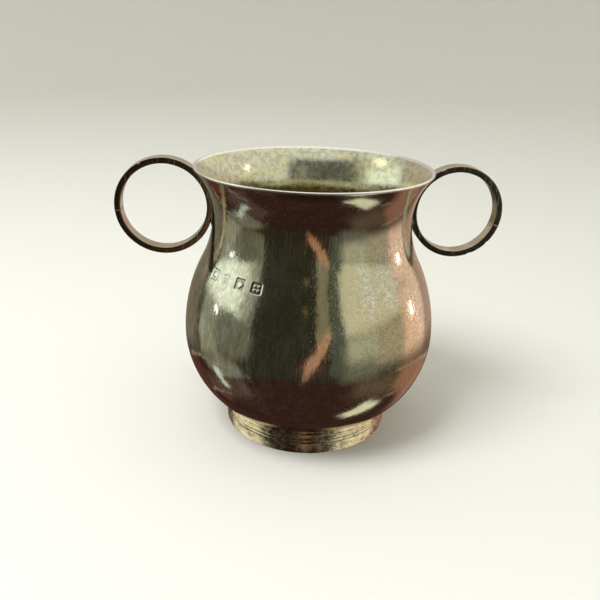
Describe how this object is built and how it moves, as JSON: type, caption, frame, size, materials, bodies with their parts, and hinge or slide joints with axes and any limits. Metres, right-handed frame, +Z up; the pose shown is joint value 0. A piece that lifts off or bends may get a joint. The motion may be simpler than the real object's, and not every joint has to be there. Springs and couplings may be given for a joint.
{
  "type": "two-handled sugar bowl",
  "caption": "Pear-shaped metal sugar bowl with a flared open mouth, a reeded foot ring and a finger-ring handle on each side of the neck.",
  "frame": {"origin": "middle of the foot's underside, on the surface that the bowl stands on", "axes": "+Z up along the bowl's axis; +X across the two ring handles, towards the right one; the row of punched marks is on the -Y side"},
  "size_m": [0.1147, 0.077, 0.0835],
  "materials": {
    "tarnished_silver": "polished sheet silver, unevenly tarnished olive brown outside and paler inside, fine scratches",
    "foot_silver": "moulded silver strip with a pale yellow tarnish, dark in its grooves",
    "handle_silver": "smooth silver strip, dark tarnish with bright rubbed edges",
    "silver_solder": "silver solder, duller and paler than the strip"
  },
  "bodies": {
    "root": {"bowl_body": "tarnished_silver", "foot_ring": "foot_silver", "foot_solder": "silver_solder", "left_ring_handle": "handle_silver", "left_handle_seam": "silver_solder", "left_handle_solder": "silver_solder", "right_ring_handle": "handle_silver", "right_handle_seam": "silver_solder", "right_handle_solder": "silver_solder"}
  },
  "joints": []
}
